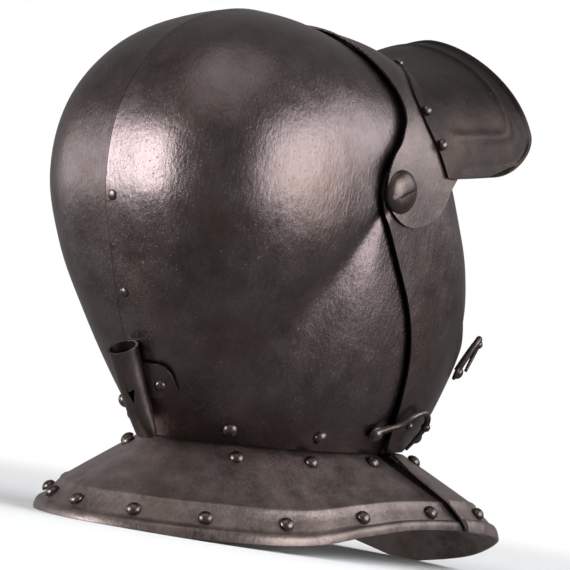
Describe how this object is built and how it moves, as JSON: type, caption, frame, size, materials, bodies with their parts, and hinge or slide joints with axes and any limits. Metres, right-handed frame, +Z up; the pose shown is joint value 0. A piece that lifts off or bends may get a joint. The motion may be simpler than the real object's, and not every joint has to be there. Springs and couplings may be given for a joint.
{
  "type": "cuirassier helmet",
  "caption": "Close helmet of dark polished steel plates with a keeled skull, a pivoted peak, visor and bevor, flared neck plates, two swing hooks and a plume holder.",
  "frame": {"origin": "centre of the bounding box on the surface that the helmet stands on", "axes": "+Z up, -Y to the front of the helmet, +X to the left side of its wearer"},
  "size_m": [0.2204, 0.3285, 0.3303],
  "materials": {
    "skull_steel": "dark brown-grey, fine brushing and pitting, satin",
    "face_steel": "dark brown-grey, satin",
    "peak_steel": "dark brown, satin",
    "neck_steel": "warm brown-grey, light rust, satin",
    "fitting_steel": "dark forged steel",
    "rivet_steel": "dark domed rivets"
  },
  "bodies": {
    "skull": {"skull_right": "skull_steel", "skull_left": "skull_steel", "neck_plate": "neck_steel", "plume_holder": "fitting_steel", "pivot_screw_right": "fitting_steel", "pivot_screw_left": "fitting_steel", "skull_base_rivet_1": "rivet_steel", "skull_base_rivet_2": "rivet_steel", "skull_base_rivet_3": "rivet_steel", "skull_base_rivet_4": "rivet_steel", "skull_base_rivet_5": "rivet_steel", "seam_rivet_1": "rivet_steel", "seam_rivet_2": "rivet_steel", "plume_rivet": "rivet_steel", "side_hook_rivet": "rivet_steel", "neck_top_rivet_1": "rivet_steel", "neck_top_rivet_2": "rivet_steel", "neck_top_rivet_3": "rivet_steel", "neck_top_rivet_4": "rivet_steel", "neck_top_rivet_5": "rivet_steel", "neck_top_rivet_6": "rivet_steel", "neck_border_rivet_1": "rivet_steel", "neck_border_rivet_2": "rivet_steel", "neck_border_rivet_3": "rivet_steel", "neck_border_rivet_4": "rivet_steel", "neck_border_rivet_5": "rivet_steel", "neck_border_rivet_6": "rivet_steel", "neck_border_rivet_7": "rivet_steel", "neck_border_rivet_8": "rivet_steel", "neck_border_rivet_9": "rivet_steel", "neck_border_rivet_10": "rivet_steel", "neck_border_rivet_11": "rivet_steel"},
    "bevor": {"bevor": "face_steel", "front_gorget": "neck_steel", "bevor_rivet_1": "rivet_steel", "bevor_rivet_2": "rivet_steel", "gorget_rivet_1": "rivet_steel", "gorget_rivet_2": "rivet_steel", "gorget_rivet_3": "rivet_steel", "gorget_rivet_4": "rivet_steel", "gorget_top_rivet_1": "rivet_steel", "gorget_top_rivet_2": "rivet_steel", "front_hook_rivet": "rivet_steel", "side_hook_stud": "rivet_steel"},
    "visor": {"visor": "face_steel"},
    "peak": {"brow_plate": "face_steel", "peak": "peak_steel", "peak_rivet_1": "rivet_steel", "peak_rivet_2": "rivet_steel", "peak_rivet_3": "rivet_steel", "peak_rivet_4": "rivet_steel", "peak_rivet_5": "rivet_steel", "peak_rivet_6": "rivet_steel", "peak_rivet_7": "rivet_steel"},
    "side_hook": {"side_hook": "fitting_steel"},
    "front_hook": {"front_hook": "fitting_steel"}
  },
  "joints": [
    {"name": "bevor_pivot", "type": "hinge", "parent": "skull", "child": "bevor", "pos_m": [0, 0.0237, 0.2185], "axis": [-1, 0, 0], "range_deg": [0, 14]},
    {"name": "visor_pivot", "type": "hinge", "parent": "skull", "child": "visor", "pos_m": [0, 0.0237, 0.2185], "axis": [-1, 0, 0], "range_deg": [0, 10]},
    {"name": "peak_pivot", "type": "hinge", "parent": "skull", "child": "peak", "pos_m": [0, 0.0237, 0.2185], "axis": [-1, 0, 0], "range_deg": [-12, 0]},
    {"name": "side_hook_swing", "type": "hinge", "parent": "skull", "child": "side_hook", "pos_m": [-0.07443, -0.02025, 0.07746], "axis": [-0.8857, -0.0364, -0.4628], "range_deg": [0, 60]},
    {"name": "front_hook_swing", "type": "hinge", "parent": "bevor", "child": "front_hook", "pos_m": [-0.0734, -0.08797, 0.12279], "axis": [-0.722, -0.6447, -0.2512], "range_deg": [0, 60]}
  ]
}
